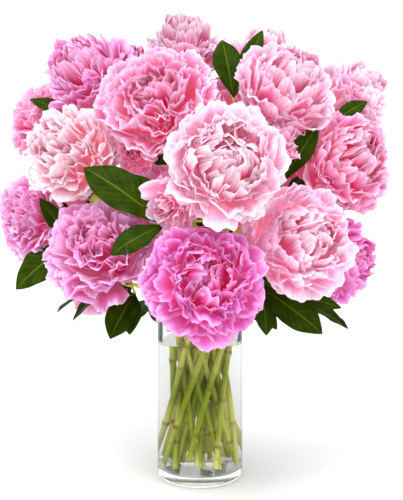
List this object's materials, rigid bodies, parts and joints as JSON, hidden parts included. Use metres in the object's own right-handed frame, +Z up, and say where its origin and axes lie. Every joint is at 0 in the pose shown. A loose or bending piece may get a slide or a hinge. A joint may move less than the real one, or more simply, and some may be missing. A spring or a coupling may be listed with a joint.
{
  "type": "vase of double peonies",
  "caption": "Round bouquet of double peony blooms and leaves, with its crossing stems standing in water in a clear glass cylinder vase.",
  "frame": {"origin": "centre of the vase's foot, on the surface it stands on", "axes": "+Z up along the vase's axis, -Y towards the bouquet's front, +X to the right seen from the front"},
  "size_m": [0.4902, 0.4339, 0.5501],
  "materials": {
    "vase_glass": "gloss",
    "water": "gloss",
    "leaf_green": "satin",
    "petal_magenta": "matte",
    "petal_rose": "matte",
    "petal_orchid": "matte",
    "petal_blush": "matte",
    "petal_pale": "matte",
    "petal_cream": "matte"
  },
  "bodies": {
    "root": {"vase": "vase_glass", "water": "water", "stem_front_low": "leaf_green", "stem_centre": "leaf_green", "stem_crown_left": "leaf_green", "stem_crown_right": "leaf_green", "stem_left": "leaf_green", "stem_left_low": "leaf_green", "stem_far_left": "leaf_green", "stem_right": "leaf_green", "stem_right_low": "leaf_green", "stem_far_right": "leaf_green", "stem_upper_left": "leaf_green", "stem_top": "leaf_green", "stem_top_right": "leaf_green", "stem_right_up": "leaf_green", "stem_far_left_up": "leaf_green", "stem_heart": "leaf_green", "stem_back_low": "leaf_green", "stem_back": "leaf_green", "stem_back_left": "leaf_green", "stem_back_crown": "leaf_green", "stem_back_high": "leaf_green", "stem_back_right": "leaf_green", "stem_back_right_low": "leaf_green", "stem_back_left_low": "leaf_green", "stem_back_left_high": "leaf_green", "stem_inner_front": "leaf_green", "stem_shoulder_left": "leaf_green", "stem_shoulder": "leaf_green", "bloom_front_low": "petal_magenta", "bloom_centre": "petal_pale", "bloom_crown_left": "petal_rose", "bloom_crown_right": "petal_blush", "bloom_left": "petal_cream", "bloom_left_low": "petal_orchid", "bloom_far_left": "petal_orchid", "bloom_right": "petal_rose", "bloom_right_low": "petal_blush", "bloom_far_right": "petal_magenta", "bloom_upper_left": "petal_orchid", "bloom_top": "petal_blush", "bloom_top_right": "petal_pale", "bloom_right_up": "petal_blush", "bloom_far_left_up": "petal_rose", "bloom_heart": "petal_rose", "bloom_back_low": "petal_pale", "bloom_back": "petal_rose", "bloom_back_left": "petal_cream", "bloom_back_crown": "petal_orchid", "bloom_back_high": "petal_blush", "bloom_back_right": "petal_orchid", "bloom_back_right_low": "petal_magenta", "bloom_back_left_low": "petal_rose", "bloom_back_left_high": "petal_blush", "bloom_inner_front": "petal_rose", "bloom_shoulder_left": "petal_pale", "bloom_shoulder": "petal_rose"}
  },
  "joints": []
}
